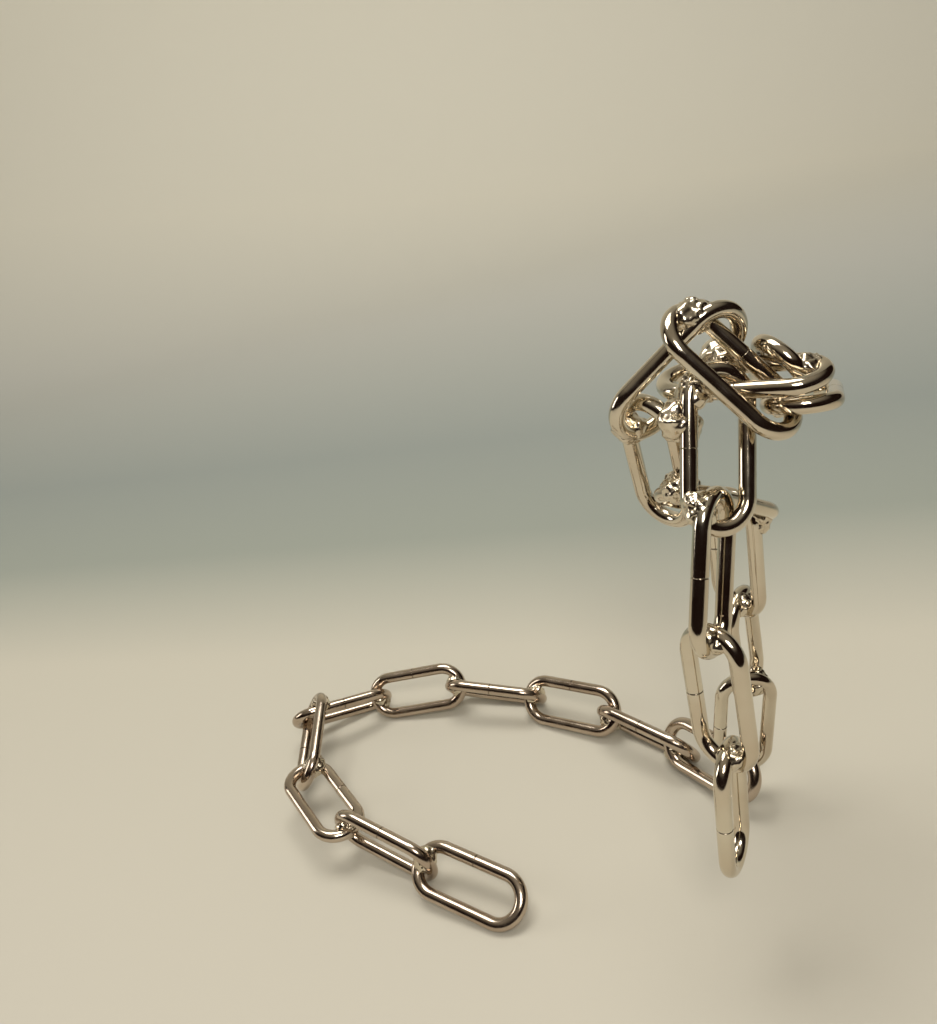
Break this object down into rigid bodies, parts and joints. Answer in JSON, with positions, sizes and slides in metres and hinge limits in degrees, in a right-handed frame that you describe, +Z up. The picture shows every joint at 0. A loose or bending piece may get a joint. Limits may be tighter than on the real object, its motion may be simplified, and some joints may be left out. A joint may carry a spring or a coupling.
{
  "type": "balancing wine bottle holder",
  "caption": "Rigid welded chain that lies in a hook on the table, rises and winds round a bottle's neck to hold it level.",
  "frame": {"origin": "centre of the overall box, on the table", "axes": "+Z up, +X along the bottle's neck towards its mouth, +Y away from the free tail, towards the riser"},
  "size_m": [0.2284, 0.1652, 0.2052],
  "materials": {
    "plated_link": "polished plating, pale champagne gold",
    "weld": "plated weld bead, lumpy, polished"
  },
  "bodies": {
    "root": {"foot_link_01": "plated_link", "foot_link_02": "plated_link", "foot_link_03": "plated_link", "foot_link_04": "plated_link", "foot_link_05": "plated_link", "foot_link_06": "plated_link", "foot_link_07": "plated_link", "foot_link_08": "plated_link", "foot_link_09": "plated_link", "foot_link_10": "plated_link", "noose_link_back": "plated_link", "noose_link_back_right": "plated_link", "noose_link_front_left": "plated_link", "noose_link_front_right": "plated_link", "noose_link_top_back": "plated_link", "noose_link_top_left": "plated_link", "noose_link_top_right": "plated_link", "noose_link_under": "plated_link", "riser_link_1": "plated_link", "riser_link_2": "plated_link", "riser_link_3": "plated_link", "tail_link_1": "plated_link", "tail_link_2": "plated_link", "tail_link_3": "plated_link", "weld_foot_link_02": "weld", "weld_foot_link_03": "weld", "weld_foot_link_04": "weld", "weld_foot_link_05": "weld", "weld_foot_link_06": "weld", "weld_foot_link_07": "weld", "weld_foot_link_08": "weld", "weld_foot_link_09": "weld", "weld_foot_link_10": "weld", "weld_mass_front": "weld", "weld_mass_top": "weld", "weld_noose_link_back": "weld", "weld_noose_link_back_right": "weld", "weld_noose_link_front_left": "weld", "weld_noose_link_front_right": "weld", "weld_noose_link_top_back": "weld", "weld_noose_link_top_left": "weld", "weld_noose_link_top_right": "weld", "weld_noose_link_under": "weld", "weld_riser_link_1": "weld", "weld_riser_link_2": "weld", "weld_riser_link_3": "weld", "weld_tail_link_1": "weld", "weld_tail_link_2": "weld", "weld_tail_link_3": "weld"}
  },
  "joints": []
}
